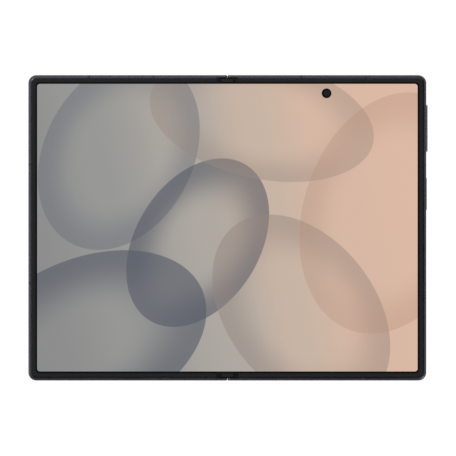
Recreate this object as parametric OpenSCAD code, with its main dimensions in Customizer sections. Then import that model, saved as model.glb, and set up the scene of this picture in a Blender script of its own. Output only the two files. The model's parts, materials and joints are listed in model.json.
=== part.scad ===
// Foldable smartphone, open flat: two thin halves joined by a book hinge
// X to the right and Y up as seen from the screen side, +Z out of the main screen
// Heights are measured from the back glass; back_lift then stands the lens rings on z = 0

/* [Body] */
// Width of the open phone
open_width = 161.4; // [156:0.2:168]
// Height of the phone along the fold
body_height = 123.9; // [118:0.1:130]
// Thickness of one half, back glass to rim top
body_thickness = 4.9; // [4.8:0.05:5.2]
// Radius of the outer corners in plan
corner_radius = 3.25; // [2.8:0.05:4.5]
// Rounding of the metal band towards the screen
front_shoulder = 1.0; // [0.6:0.05:1.1]
// Rounding of the metal band towards the back
back_shoulder = 0.8; // [0.4:0.05:0.9]
// Side wall of the frame, outside to electronics bay
wall = 2.0; // [1.8:0.05:2.4]
// How far the soft rim stands above the metal band
rim_proud = 0.15; // [0.05:0.05:0.25]
// Gap left between the two rims when the phone is shut
shut_gap = 0.1; // [0.1:0.05:0.3]
// Sheet of the frame behind the main screen
mid_plate = 0.45; // [0.35:0.05:0.55]
// Ledge that the back glass is bonded to
ledge = 0.4; // [0.3:0.05:0.5]
// Width of that ledge inside the wall
ledge_width = 1.5; // [1:0.1:2.5]

/* [Main screen] */
// Metal band beside the rim, on the long way out from the fold
band_side = 1.3; // [1.2:0.05:1.4]
// Metal band above and below the rim
band_end = 1.45; // [1.3:0.05:1.5]
// Width of the bevel on the band's inner edge
bevel_width = 0.38; // [0.2:0.01:0.4]
// Depth of that bevel
bevel_depth = 0.2; // [0.1:0.01:0.3]
// Corner radius of the panel
panel_corner = 1.7; // [1:0.1:2.5]
// Thickness of the panel with its film
panel_thickness = 0.55; // [0.45:0.05:0.6]
// How far the panel lies below the rim top
screen_recess = 0.35; // [0.25:0.05:0.4]
// Width of the soft rim round the panel
rim_width = 1.35; // [1.2:0.05:1.5]
// Rounding of the rim's outer top edge
rim_edge = 0.25; // [0.2:0.05:0.5]
// Fit between panel and rim
panel_fit = 0.05; // [0.03:0.01:0.1]
// Dark groove between rim and metal band
rim_groove = 0.1; // [0.05:0.05:0.2]
// Half width of the stretch of panel that bends
fold_reach = 7; // [6.5:0.1:7.3]
// Backing plate under the stiff part of the panel
backing = 0.25; // [0.2:0.05:0.3]
// Diameter of the camera hole in the panel
punch_hole = 3.7; // [3.2:0.1:4.5]
// Distance of the camera hole's centre from the panel's top edge
punch_from_top = 4.35; // [3.5:0.05:6]

/* [Hinge] */
// Height of the two fold axes above the back glass
axis_height = 3.1; // [3:0.05:3.2]
// Radius of the spine's round flanks
spine_radius = 2.35; // [2.3:0.01:2.4]
// Sheet of the spine cover
spine_sheet = 0.4; // [0.3:0.05:0.5]
// Gap between the spine and the halves that turn round it
spine_gap = 0.15; // [0.1:0.01:0.2]
// Height of the spine cover's edge
spine_edge = 3.5; // [3.2:0.05:3.6]
// Thickness of the end wall in front of the spine
end_wall = 0.95; // [0.7:0.05:1.1]
// Gap between each half and the fold line
fold_clear = 0.04; // [0.04:0.01:0.1]
// Radius of the hinge shafts
shaft_radius = 0.35; // [0.3:0.01:0.38]
// Running fit of a shaft or pin in its bore
running_fit = 0.03; // [0.02:0.01:0.05]
// Radius of the bracket knuckles
knuckle_radius = 0.6; // [0.56:0.01:0.62]
// Radius of the arm hubs
hub_radius = 0.56; // [0.5:0.01:0.57]
// Length of one hinge module along the fold
module_length = 14; // [13.6:0.1:16]
// Distance from a hinge module's outer end to the panel edge
module_inset = 2; // [1.8:0.1:4]
// Length of an arm along the fold
arm_length = 2.4; // [1.5:0.1:3]
// Side gap between arms, gears, clips and brackets
side_gap = 0.1; // [0.05:0.01:0.2]
// Width of a bracket cheek along the fold
cheek = 1.3; // [1:0.05:1.5]
// Width of the synchronising gears
gear_width = 2.2; // [1:0.1:2.4]
// Pitch radius of the synchronising gears
gear_pitch = 0.65; // [0.64:0.005:0.66]
// Tooth tip above the pitch circle
addendum = 0.09; // [0.06:0.01:0.1]
// Tooth root below the pitch circle
dedendum = 0.13; // [0.11:0.01:0.15]
// Teeth on each gear
gear_teeth = 10; // [10:1:10]
// Radius of the idler pins
idler_pin = 0.2; // [0.15:0.01:0.25]
// Height of an arm's neck
neck = 0.45; // [0.35:0.05:0.5]
// Length of an arm's foot along the fold
foot_length = 8; // [6:0.5:10]
// Height of an arm's foot
foot_height = 0.9; // [0.6:0.05:0.95]
// Distance of the wing plate pivot from the fold
wing_pivot = 7.6; // [7.4:0.05:7.7]
// Reach of a wing plate from its pivot to the fold
wing_reach = 3.3; // [3:0.05:3.35]
// Thickness of a wing plate
wing_sheet = 0.2; // [0.15:0.01:0.25]
// Radius of a wing plate's half round runner
runner_radius = 1.1; // [0.9:0.05:1.2]
// Length of a runner along the fold
runner_length = 4; // [3:0.5:6]
// Width of the plate between the two shafts
centre_plate_width = 6; // [5:0.1:6]
// Thickness of that plate
centre_sheet = 0.16; // [0.12:0.01:0.18]
// Distance of the beam behind the hinge from the fold
beam_x = 8.4; // [8.3:0.1:9]
// Thickness of that beam
beam = 0.8; // [0.6:0.1:1.2]
// Width of the end pad that shows at each end of the fold
pad_width = 4.8; // [4:0.1:5]
// Height of the end pad's face
pad_top = 4.6; // [4.4:0.05:4.7]
// Gap that shows between the end pad and the end wall
pad_gap = 0.65; // [0.4:0.05:0.7]
// Width of a flexible cable across the hinge
cable_width = 10; // [6:0.5:12]
// Thickness of that cable
cable_thickness = 0.12; // [0.1:0.01:0.2]
// Sheet of the guards that close the spine's side openings when the phone is shut
guard = 0.3; // [0.2:0.05:0.35]

/* [Back] */
// Thickness of the back and cover glass
back_glass = 0.5; // [0.4:0.05:0.55]
// How far the glass stands proud of the metal
glass_proud = 0.05; // [0.02:0.01:0.1]
// Metal shown beside the back glass
glass_inset = 1.0; // [0.95:0.05:1.5]
// Distance of the back glass from the fold
glass_start = 3.0; // [2.9:0.1:4]
// Fit round the back glass
glass_fit = 0.05; // [0.02:0.01:0.1]
// Rounding of the back glass edges
glass_edge = 0.25; // [0.1:0.05:0.3]
// Height of the camera island
island_height = 1.5; // [1:0.1:2]
// Width of the camera island
island_width = 16; // [15.6:0.2:18]
// Distance between the two lenses
lens_pitch = 17; // [16:0.5:20]
// Distance of the island's centre line from the side
island_from_side = 12.2; // [12:0.1:14]
// Distance of the upper lens from the top
upper_lens_from_top = 12.5; // [12:0.1:16]
// Wall of the camera island
island_wall = 1.2; // [0.8:0.1:1.2]
// Height of the lens rings above the island
ring_height = 0.3; // [0.2:0.05:0.5]
// Width of a lens ring's flange outside its sleeve
ring_flange = 0.6; // [0.3:0.1:1]
// Wall of the ring's sleeve through the island
ring_wall = 0.6; // [0.4:0.05:0.7]
// Radius of a lens window
lens_radius = 5.4; // [5:0.1:5.6]
// Side of a camera housing
camera_side = 11.5; // [10.5:0.1:12]
// Radius of the flash window
flash_radius = 2.1; // [1.5:0.1:2.5]

/* [Edge parts] */
// Height of the key caps above the back
key_height_centre = 2.15; // [2.1:0.05:2.2]
// Width of the key caps across the edge
key_width = 2.0; // [1.6:0.05:2.1]
// Length of the volume key
volume_length = 19.1; // [16:0.1:22]
// Distance of the volume key's middle from the top
volume_from_top = 21.55; // [20:0.05:23]
// How far the volume key stands out
volume_proud = 0.6; // [0.35:0.01:0.7]
// Length of the power key
power_length = 13.3; // [11:0.1:15]
// Distance of the power key's middle from the top
power_from_top = 48.2; // [46:0.1:52]
// How far the power key stands out
power_proud = 0.28; // [0.2:0.01:0.4]
// Fit round the key caps
key_fit = 0.12; // [0.1:0.01:0.15]
// Bevel on the key caps
key_bevel = 0.2; // [0.1:0.05:0.3]
// Width of the plastic antenna breaks
break_width = 0.9; // [0.6:0.1:1.2]
// Length of the charging port's mouth
port_length = 8.34; // [8.34:0.01:8.34]
// Height of the charging port's mouth
port_height = 2.56; // [2.56:0.01:2.56]
// Wall of the charging port's shell
port_wall = 0.3; // [0.25:0.01:0.32]
// Depth of the charging port's shell
port_depth = 7; // [6.5:0.1:8]
// Length of the card tray's cap
tray_cap_length = 11; // [10.5:0.1:12]
// Height of the card tray's cap
tray_cap_height = 1.9; // [1.7:0.05:2]
// Length of the card tray
tray_length = 15; // [14:0.5:17]
// Thickness of the card tray
tray_thickness = 1.3; // [1.1:0.05:1.4]
// Diameter of the speaker holes
speaker_hole = 1.0; // [0.6:0.1:1.2]
// Distance between speaker holes
speaker_pitch = 1.7; // [1.5:0.1:1.9]

/* [Inside] */
// Gap between neighbouring inner parts
part_gap = 0.6; // [0.4:0.1:1]
// Thickness of the circuit boards
board = 0.6; // [0.4:0.05:0.8]
// Height of the board shields
shield_height = 1.4; // [1:0.1:1.5]
// Length of the loudspeaker and earpiece boxes
speaker_box = 12.4; // [11:0.1:13]
// Depth of the loudspeaker and earpiece boxes
speaker_depth = 12; // [10:0.5:14]
// Width of the vibration motor
motor_width = 6.4; // [5:0.1:7]
// Length of the magnets
magnet_length = 8; // [5:0.5:9]
// Width of the magnets
magnet_width = 1.5; // [1:0.1:1.6]
// Side of the small camera bodies
small_camera = 5.2; // [4.5:0.1:6]
// Thickness of the batteries
battery = 2.3; // [2:0.05:2.35]
// Outer radius of the charging coil
coil_radius = 21; // [16:0.5:24]
// Width of the charging coil's winding
coil_band = 8; // [5:0.5:12]
// Thickness of the charging coil
coil_thickness = 0.15; // [0.1:0.01:0.3]
// Thickness of the cover screen panel
cover_panel = 0.45; // [0.35:0.05:0.5]
// Sheet of the board shields
shield_sheet = 0.15; // [0.1:0.01:0.2]
// Radius of the screw shanks
screw_radius = 0.4; // [0.3:0.05:0.45]
// Radius of the screw heads
screw_head = 0.75; // [0.6:0.05:0.8]
// Height of the screw heads
screw_head_height = 0.2; // [0.15:0.01:0.22]

/* [Hidden] */
$fn = 48;
// Overshoot of cutting shapes past the face that they cut
over = 1;
half_width = open_width / 2;
half_height = body_height / 2;
back_lift = island_height + ring_height;
// Heights of the layers
rim_top = body_thickness;
metal_top = body_thickness - rim_proud;
screen_top = body_thickness - screen_recess;
screen_back = screen_top - panel_thickness;
backing_bottom = screen_back - backing;
plate_bottom = backing_bottom - mid_plate;
ledge_top = back_glass + ledge;
// Outlines in plan
rim_outer_x = half_width - band_side;
rim_outer_y = half_height - band_end;
rim_inner_x = rim_outer_x - rim_groove - rim_width;
rim_inner_y = rim_outer_y - rim_groove - rim_width;
panel_x = rim_inner_x - panel_fit;
panel_y = rim_inner_y - panel_fit;
rim_corner = corner_radius - band_side;
punch_x = half_width / 2;
punch_y = panel_y - punch_from_top;
bay_x = half_width - wall;
bay_y = half_height - wall;
bay_corner = 1;
beam_end = beam_x + beam;
glass_x = half_width - glass_inset;
glass_y = half_height - glass_inset;
glass_corner = corner_radius - glass_inset;
// Hinge geometry: each half turns by a quarter turn about its own axis
axis_x = body_thickness - axis_height + shut_gap / 2;
sweep_radius = spine_radius + spine_gap;
hinge_half = axis_x + sweep_radius;
spine_y = half_height - end_wall - side_gap;
nose_radius = axis_x - fold_clear;
nose_corner = 0.6;
spine_floor = axis_height - spine_radius + spine_sheet;
notch_height = spine_floor + 0.05;
module_end = panel_y - module_inset;
module_starts = [module_end - module_length, -module_length / 2, -module_end];
gear_starts = [module_starts[0], module_starts[2]];
// Stations along a hinge module, each after the last
arm_at = cheek + side_gap;
cheek_b_at = arm_at + arm_length + side_gap;
gear_at = cheek_b_at + cheek + side_gap;
cheek_c_at = gear_at + gear_width + side_gap;
clip_at = cheek_c_at + cheek + side_gap;
cheek_d_at = module_length - cheek;
clip_length = cheek_d_at - side_gap - clip_at;
neck_bottom = notch_height + side_gap;
web_half = 0.4;
foot_start = hinge_half + 0.25;
foot_end = beam_x - 0.2;
foot_screw_x = (foot_start + foot_end) / 2;
foot_screw_offset = foot_length / 2 - 1.4;
base_half = 1.3;
base_half_at_arms = 0.9;
base_height = 0.25;
// The guards turn just inside the spine cover
guard_radius = axis_height - spine_floor - side_gap;
guard_sweep = 70;
guard_top = neck_bottom + 0.2;
idler_x = gear_pitch;
idler_z = axis_height - sqrt(4 * gear_pitch * gear_pitch - (axis_x - idler_x) * (axis_x - idler_x));
wing_height = screen_back - 0.05 - wing_sheet / 2;
wing_start = wing_pivot - wing_reach;
runner_fit = 0.05;
runner_inner = module_length / 2 + 7;
runner_outer = module_starts[0] - 4;
runner_stations = [-runner_outer, -runner_inner, runner_inner, runner_outer];
runner_sweep = 115;
cradle_start = 7;
cradle_length = runner_length + 2 * side_gap;
cradle_bottom = wing_height - runner_radius - 0.25;
backing_start = wing_pivot + 0.2;
cable_y = (runner_inner + runner_outer) / 2;
cable_z = guard_top + side_gap;
cable_room = 0.5;
cable_top_z = axis_height - 0.45;
cable_rise = axis_x;
cable_foot = hinge_half;
// Back and edge parts
island_x = half_width - island_from_side;
island_face = 0.6;
ring_outer = lens_radius + ring_wall + ring_flange;
upper_lens_y = half_height - upper_lens_from_top;
lens_ys = [upper_lens_y, upper_lens_y - lens_pitch];
camera_barrel = lens_radius - 0.4;
flash_x = island_x - island_width / 2 - 5;
port_x = half_width / 2;
port_z = key_height_centre;
port_mouth = half_height - 0.4;
port_back = -port_mouth + port_depth;
port_back_wall = 0.8;
port_fit = 0.02;
volume_y = half_height - volume_from_top;
power_y = half_height - power_from_top;
key_flange = 0.3;
key_flange_end = 0.5;
key_pocket = 0.7;
speaker_holes = 6;
speaker_run = (speaker_holes - 1) * speaker_pitch;
speaker_centre = half_width - 17.85;
speaker_x = speaker_centre - speaker_run / 2;
earpiece_centre = half_width - 16.45;
earpiece_x = -earpiece_centre - speaker_run / 2;
microphone_hole = 0.6;
tongue_width = 6.69;
tongue_length = 4.8;
tongue_thickness = 0.7;
// Metal left between an antenna break and the rim's groove
break_skin = 0.2;
// Antenna breaks, two above, two below and two in each side
top_breaks = [30, half_width - 24.7];
bottom_breaks = [25, half_width - 25.5];
side_breaks = [half_height - 36.35, -half_height + 39.45];
// Inner parts
tray_x = beam_end + 9;
tray_half = tray_cap_length / 2 - 0.8;
tray_fit = 0.1;
cap_fit = 0.08;
tray_cap = 1.2;
ejector_radius = 0.4;
reader_sheet = 0.2;
reader_side = tray_x + tray_half + 2 * tray_fit + reader_sheet;
reader_end = -half_height + tray_length + 1.4;
upper_floor = lens_ys[1] - camera_side / 2 - 1.75;
lower_roof = reader_end + 2.6;
board_bottom = plate_bottom - board;
inner_start = beam_end + 2.8;
board_end = island_x - island_width / 2 - 0.6;
battery_end = bay_x - 2.2;
camera_margin = small_camera / 2 + 0.6;
selfie_body = 1.9;
cover_lens = 1.8;
cable_end = inner_start - 0.4;
connector = 1.6;
switch_strip = 0.4;
cover_camera_x = half_width / 2;
cover_camera_y = bay_y - small_camera / 2 - 3.9;

module lifted() {
    translate([0, 0, back_lift]) children();
}

module mirrored() {
    mirror([1, 0, 0]) children();
}

// A block given by its two corners
module block(low, high) {
    translate(low) cube(high - low);
}

// A bar along the fold, with its round or drawn section in the X-Z plane
module along_fold(y_start, length) {
    translate([0, y_start + length, 0]) rotate([90, 0, 0]) linear_extrude(length) children();
}

// A cylinder along the fold
module fold_rod(x, z, radius, y_start, length) {
    translate([x, y_start + length, z]) rotate([90, 0, 0]) cylinder(h = length, r = radius);
}

// Outline of a half: straight at the fold, round at the outer corners
module half_outline(x_start, x_end, y_half, corner) {
    translate([x_start, -y_half]) square([x_end - corner - x_start, 2 * y_half]);
    translate([x_end - 2 * corner, -y_half + corner]) square([2 * corner, 2 * (y_half - corner)]);
    for (side = [-1, 1]) translate([x_end - corner, side * (y_half - corner)]) circle(r = corner);
}

module half_plate(x_start, x_end, y_half, corner, z_low, z_high) {
    translate([0, 0, z_low]) linear_extrude(z_high - z_low) {
        half_outline(x_start, x_end, y_half, corner);
    }
}

// Section of an edge, with a rounding below and above
module edge_section(depth, z_low, z_high, low_round, high_round) {
    translate([0, z_low + low_round]) square([depth, z_high - z_low - low_round - high_round]);
    translate([0, z_low]) square([depth - low_round, low_round + 0.1]);
    translate([0, z_high - high_round - 0.1]) square([depth - high_round, high_round + 0.1]);
    if (low_round > 0) translate([depth - low_round, z_low + low_round]) circle(r = low_round);
    if (high_round > 0) translate([depth - high_round, z_high - high_round]) circle(r = high_round);
}

// A plate of half outline whose three outer sides have the drawn section
module swept_plate(x_start, x_end, y_half, corner, z_low, z_high) {
    corner_x = x_end - corner;
    corner_y = y_half - corner;
    block([x_start, -corner_y, z_low], [corner_x, corner_y, z_high]);
    translate([corner_x, corner_y, 0]) rotate([90, 0, 0]) linear_extrude(2 * corner_y) children();
    for (side = [0, 1]) mirror([0, side, 0]) {
        translate([x_start, corner_y, 0]) rotate([90, 0, 90]) linear_extrude(corner_x - x_start) children();
        translate([corner_x, corner_y, 0]) rotate_extrude(angle = 90) children();
    }
}

// A plate of half outline with rounded edges on its three outer sides
module edged_plate(x_start, x_end, y_half, corner, z_low, z_high, low_round, high_round) {
    swept_plate(x_start, x_end, y_half, corner, z_low, z_high) {
        edge_section(corner, z_low, z_high, low_round, high_round);
    }
}

// A stadium in the Y-Z plane, from x_low to x_high
module side_stadium(y, z, length, height, x_low, x_high) {
    run = length - height;
    block([x_low, y - run / 2, z - height / 2], [x_high, y + run / 2, z + height / 2]);
    for (side = [-1, 1]) translate([x_low, y + side * run / 2, z]) rotate([0, 90, 0]) {
        cylinder(h = x_high - x_low, r = height / 2);
    }
}

// A stadium in the X-Z plane, from y_low to y_high
module end_stadium(x, z, length, height, y_low, y_high) {
    run = length - height;
    block([x - run / 2, y_low, z - height / 2], [x + run / 2, y_high, z + height / 2]);
    for (side = [-1, 1]) fold_rod(x + side * run / 2, z, height / 2, y_low, y_high - y_low);
}

// A pill in plan, long along Y
module pill(x, y_low, y_high, radius, z_low, z_high) {
    translate([0, 0, z_low]) linear_extrude(z_high - z_low) {
        translate([x - radius, y_low]) square([2 * radius, y_high - y_low]);
        translate([x, y_low]) circle(r = radius);
        translate([x, y_high]) circle(r = radius);
    }
}

// A screw standing in its hole, head up, with a cross recess
module screw(x, y, z_tip, z_seat) {
    recess = screw_head * 0.6;
    translate([x, y, 0]) difference() {
        union() {
            translate([0, 0, z_tip]) cylinder(h = z_seat - z_tip + 0.05, r = screw_radius);
            translate([0, 0, z_seat]) cylinder(h = screw_head_height, r = screw_head);
        }
        for (turn = [0, 90]) rotate([0, 0, turn]) {
            translate([-recess, -0.06, z_seat + screw_head_height / 2]) cube([2 * recess, 0.12, over]);
        }
    }
}

module foot_screw_places() {
    for (start = module_starts) for (side = [-1, 1]) {
        translate([foot_screw_x, start + arm_at + arm_length / 2 + side * foot_screw_offset, 0]) children();
    }
}

// The plastic breaks run right through the band beside the rim
module break_blocks() {
    for (x = top_breaks) {
        block([x - break_width / 2, rim_outer_y + break_skin, 0],
            [x + break_width / 2, half_height + over, rim_top]);
    }
    for (x = bottom_breaks) {
        block([x - break_width / 2, -half_height - over, 0],
            [x + break_width / 2, -rim_outer_y - break_skin, rim_top]);
    }
    for (y = side_breaks) {
        block([rim_outer_x + break_skin, y - break_width / 2, 0],
            [half_width + over, y + break_width / 2, rim_top]);
    }
}

// The metal slopes down to the rim, so that the band has a crest
module band_bevel() {
    low = metal_top - bevel_depth;
    swept_plate(-over, rim_outer_x, rim_outer_y, rim_corner, low, metal_top + over) {
        polygon([[0, low], [rim_corner, low], [rim_corner + bevel_width, metal_top],
            [rim_corner + bevel_width, metal_top + over], [0, metal_top + over]]);
    }
}

module frame_outside() {
    difference() {
        edged_plate(fold_clear, half_width, half_height, corner_radius, glass_proud, metal_top,
            back_shoulder, front_shoulder);
        band_bevel();
    }
}

// Room for the spine, which turns inside each half
module spine_room() {
    y_room = half_height - end_wall;
    fold_rod(axis_x, axis_height, sweep_radius, -y_room, 2 * y_room);
    block([-over, -y_room, axis_height - sweep_radius], [axis_x, y_room, rim_top + over]);
    block([-over, -y_room, axis_height], [hinge_half, y_room, rim_top + over]);
}

// The end walls are cut round above the axis, and their corners show a small notch at the fold
module nose_cuts() {
    difference() {
        block([-over, -half_height - over, axis_height], [axis_x, half_height + over, rim_top + over]);
        fold_rod(axis_x, axis_height, nose_radius, -half_height - 2 * over, body_height + 4 * over);
    }
    for (side = [0, 1]) mirror([0, side, 0]) difference() {
        block([-over, half_height - nose_corner, -over],
            [fold_clear + nose_corner, half_height + over, rim_top + over]);
        translate([fold_clear + nose_corner, half_height - nose_corner, -2 * over]) {
            cylinder(h = rim_top + 4 * over, r = nose_corner);
        }
    }
}

// The bay behind the hinge, with a cradle left standing for each wing plate runner
module hinge_bay() {
    difference() {
        block([axis_x, -panel_y, ledge_top], [beam_x, panel_y, rim_top + over]);
        for (y = runner_stations) {
            block([cradle_start, y - cradle_length / 2, cradle_bottom],
                [beam_x + over, y + cradle_length / 2, backing_bottom]);
        }
    }
    for (y = runner_stations) {
        fold_rod(wing_pivot, wing_height, runner_radius + runner_fit, y - cradle_length / 2, cradle_length);
    }
    for (side = [-1, 1]) {
        block([beam_x - over, side * cable_y - cable_width / 2 - cable_room, cable_z - side_gap],
            [beam_end + over, side * cable_y + cable_width / 2 + cable_room, cable_z + cable_room]);
    }
}

// A curved wall about the fold axis that closes an opening in the spine's side when the phone is shut
module guard_wall(y_start, length) {
    along_fold(y_start, length) intersection() {
        difference() {
            translate([axis_x, axis_height]) circle(r = guard_radius);
            translate([axis_x, axis_height]) circle(r = guard_radius - guard);
        }
        translate([axis_x, axis_height]) {
            polygon([[0, 0], [-3 * sin(guard_sweep), -3 * cos(guard_sweep)], [-3, -3], [0, -3]]);
        }
    }
}

// Under each cable a thin sheet reaches from the beam into the spine and carries such a wall
module cable_guards() {
    half_length = cable_width / 2 + cable_room - side_gap;
    for (side = [-1, 1]) {
        y = side * cable_y;
        guard_wall(y - half_length, 2 * half_length);
        block([axis_x - 0.05, y - half_length, neck_bottom], [foot_start + 0.1, y + half_length, guard_top]);
        block([foot_start, y - half_length, ledge_top - 0.2], [beam_x + 0.2, y + half_length, guard_top]);
    }
}

module glass_recess() {
    half_plate(glass_start - glass_fit, glass_x + glass_fit, glass_y + glass_fit, glass_corner,
        -over, back_glass);
}

// The shared aluminium frame of a half, before its own holes
module half_frame() {
    difference() {
        frame_outside();
        half_plate(-over, rim_outer_x, rim_outer_y, rim_corner, backing_bottom, rim_top + over);
        spine_room();
        nose_cuts();
        hinge_bay();
        translate([beam_end - bay_corner, 0, 0]) {
            half_plate(bay_corner, bay_x - beam_end + bay_corner, bay_y, bay_corner,
                ledge_top, plate_bottom);
        }
        half_plate(beam_end + ledge_width, bay_x - ledge_width, bay_y - ledge_width, bay_corner,
            back_glass, ledge_top + 0.1);
        glass_recess();
        break_blocks();
        foot_screw_places() cylinder(h = ledge_top + over, r = screw_radius);
    }
    cable_guards();
}

module key_pocket_cut(y, length) {
    pocket_half = length / 2 + key_flange_end + 0.2;
    block([bay_x - over, y - pocket_half, ledge_top], [bay_x + key_pocket, y + pocket_half, plate_bottom]);
    side_stadium(y, key_height_centre, length + 2 * key_fit, key_width + 2 * key_fit,
        bay_x, half_width + over);
}

// Right half

module right_frame() color([0.33, 0.33, 0.36]) lifted() {
    difference() {
        half_frame();
        translate([punch_x, punch_y, plate_bottom - over]) cylinder(h = over + 2, r = punch_hole / 2);
        key_pocket_cut(volume_y, volume_length);
        key_pocket_cut(power_y, power_length);
        end_stadium(port_x, port_z, port_length + 2 * (port_wall + port_fit),
            port_height + 2 * (port_wall + port_fit), -half_height - over, port_back + 0.1);
        end_stadium(tray_x, port_z, tray_cap_length + 2 * cap_fit, tray_cap_height + 2 * cap_fit,
            -half_height - over, -half_height + tray_cap + 0.06);
        block([tray_x - tray_half - tray_fit, -half_height, port_z - tray_thickness / 2 - tray_fit],
            [tray_x + tray_half + tray_fit, -bay_y + over, port_z + tray_thickness / 2 + tray_fit]);
        speaker_cuts(speaker_x, -half_height - over);
        fold_rod(port_x - 8, port_z, microphone_hole / 2, -half_height - over, wall + 2 * over);
        fold_rod(port_x + 5, port_z, microphone_hole / 2, bay_y - over, wall + 2 * over);
    }
}

module speaker_cuts(x, y) {
    for (i = [0 : speaker_holes - 1]) {
        fold_rod(x + i * speaker_pitch, port_z, speaker_hole / 2, y, wall + 2 * over);
    }
}

module antenna_breaks() {
    difference() {
        intersection() {
            frame_outside();
            break_blocks();
        }
        glass_recess();
    }
}

module right_antenna_breaks() color([0.24, 0.24, 0.25]) lifted() {
    antenna_breaks();
}

module bezel_rim() {
    difference() {
        edged_plate(hinge_half, rim_outer_x - rim_groove, rim_outer_y - rim_groove, rim_corner - rim_groove,
            backing_bottom, rim_top, 0, rim_edge);
        half_plate(0, rim_inner_x, rim_inner_y, panel_corner, 0, rim_top + over);
    }
}

module right_bezel_rim() color([0.15, 0.15, 0.16]) lifted() {
    bezel_rim();
}

module backing_plate() {
    half_plate(backing_start, panel_x - 0.1, panel_y - 0.1, panel_corner, backing_bottom, screen_back);
}

module right_backing_plate() color([0.2, 0.2, 0.22]) lifted() {
    difference() {
        backing_plate();
        translate([punch_x, punch_y, 0]) cylinder(h = rim_top, r = punch_hole / 2);
    }
}

module right_screen_panel() color([0.85, 0.72, 0.65]) lifted() {
    difference() {
        half_plate(fold_reach, panel_x, panel_y, panel_corner, screen_back, screen_top);
        translate([punch_x, punch_y, 0]) cylinder(h = rim_top + over, r = punch_hole / 2);
    }
}

module selfie_camera() color([0.05, 0.05, 0.07]) lifted() {
    body_low = plate_bottom - selfie_body;
    translate([punch_x, punch_y, 0]) {
        block([-small_camera / 2, -small_camera / 2, body_low],
            [small_camera / 2, small_camera / 2, plate_bottom]);
        translate([0, 0, body_low]) cylinder(h = screen_top - 0.15 - body_low, r = punch_hole / 2 - 0.1);
    }
}

module rear_glass() color([0.22, 0.22, 0.25]) lifted() {
    difference() {
        edged_plate(glass_start, glass_x, glass_y, glass_corner, 0, back_glass, glass_edge, 0);
        pill(island_x, lens_ys[1], lens_ys[0], island_width / 2 + glass_fit, -over, back_glass + over);
        translate([flash_x, upper_lens_y, -over]) {
            cylinder(h = back_glass + 2 * over, r = flash_radius + glass_fit);
        }
    }
}

module camera_island() color([0.36, 0.36, 0.39]) lifted() {
    inner = island_width / 2 - island_wall;
    difference() {
        pill(island_x, lens_ys[1], lens_ys[0], island_width / 2, -island_height, back_glass);
        pill(island_x, lens_ys[1], lens_ys[0], inner, -island_height + island_face, back_glass + over);
        for (y = lens_ys) {
            translate([island_x, y, -island_height - over]) {
                cylinder(h = island_face + 2 * over, r = lens_radius + ring_wall);
            }
        }
    }
    for (y = [lens_ys[1] - inner / 2, lens_ys[0] + inner / 2]) {
        block([island_x - island_width / 2 + 0.2, y - 1, back_glass],
            [island_x - inner, y + 1, plate_bottom]);
    }
}

module lens_rings() color([0.5, 0.5, 0.53]) lifted() {
    for (y = lens_ys) translate([island_x, y, -island_height]) difference() {
        union() {
            translate([0, 0, -ring_height]) cylinder(h = ring_height, r = ring_outer);
            cylinder(h = island_face, r = lens_radius + ring_wall);
        }
        translate([0, 0, -ring_height - over]) {
            cylinder(h = island_face + ring_height + 2 * over, r = lens_radius);
        }
    }
}

module lens_windows() color([0.04, 0.04, 0.06]) lifted() {
    for (y = lens_ys) {
        translate([island_x, y, -island_height]) cylinder(h = island_face, r = lens_radius);
    }
}

module rear_cameras() color([0.1, 0.1, 0.12]) lifted() {
    barrel_bottom = island_face - island_height;
    for (y = lens_ys) {
        translate([island_x, y, barrel_bottom]) cylinder(h = 2.2, r = camera_barrel);
        block([island_x - camera_side / 2, y - camera_side / 2, barrel_bottom + 2.1],
            [island_x + camera_side / 2, y + camera_side / 2, plate_bottom]);
    }
}

module flash_window() color([0.9, 0.9, 0.85]) lifted() {
    translate([flash_x, upper_lens_y, 0]) {
        cylinder(h = back_glass, r = flash_radius);
        cylinder(h = board_bottom, r = flash_radius - 0.5);
    }
}

module main_board() color([0.05, 0.2, 0.15]) lifted() {
    difference() {
        block([inner_start, upper_floor + part_gap, board_bottom],
            [board_end, bay_y - part_gap, plate_bottom]);
        block([punch_x - camera_margin, punch_y - camera_margin, 0],
            [punch_x + camera_margin, bay_y + over, rim_top]);
    }
}

// Two pressed boxes side by side on the board
module board_shields() color([0.7, 0.7, 0.72]) lifted() {
    z_low = board_bottom - shield_height;
    y_low = upper_floor + 2;
    y_high = punch_y - camera_margin - 6;
    shield_width = (board_end - inner_start) / 2 - 2;
    for (x = [inner_start + 1, board_end - 1 - shield_width]) difference() {
        block([x, y_low, z_low], [x + shield_width, y_high, board_bottom]);
        block([x + shield_sheet, y_low + shield_sheet, z_low + shield_sheet],
            [x + shield_width - shield_sheet, y_high - shield_sheet, board_bottom + over]);
    }
}

module main_battery() color([0.12, 0.12, 0.12]) lifted() {
    block([inner_start, lower_roof + part_gap, plate_bottom - battery],
        [battery_end, upper_floor - part_gap, plate_bottom]);
}

module charging_coil() color([0.72, 0.45, 0.2]) lifted() {
    top = plate_bottom - battery;
    coil_x = (inner_start + battery_end) / 2;
    translate([coil_x, (lower_roof + upper_floor) / 2, top - coil_thickness]) difference() {
        cylinder(h = coil_thickness, r = coil_radius);
        translate([0, 0, -over]) cylinder(h = coil_thickness + 2 * over, r = coil_radius - coil_band);
    }
}

module lower_board() color([0.05, 0.2, 0.15]) lifted() {
    port_half = port_length / 2 + port_wall + 0.2;
    difference() {
        block([reader_side + 5 * part_gap, -bay_y + part_gap, board_bottom],
            [speaker_centre - speaker_box / 2 - 2 * part_gap, lower_roof - part_gap, plate_bottom]);
        block([port_x - port_half, -bay_y - over, 0], [port_x + port_half, port_back + 0.2, rim_top]);
    }
}

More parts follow.
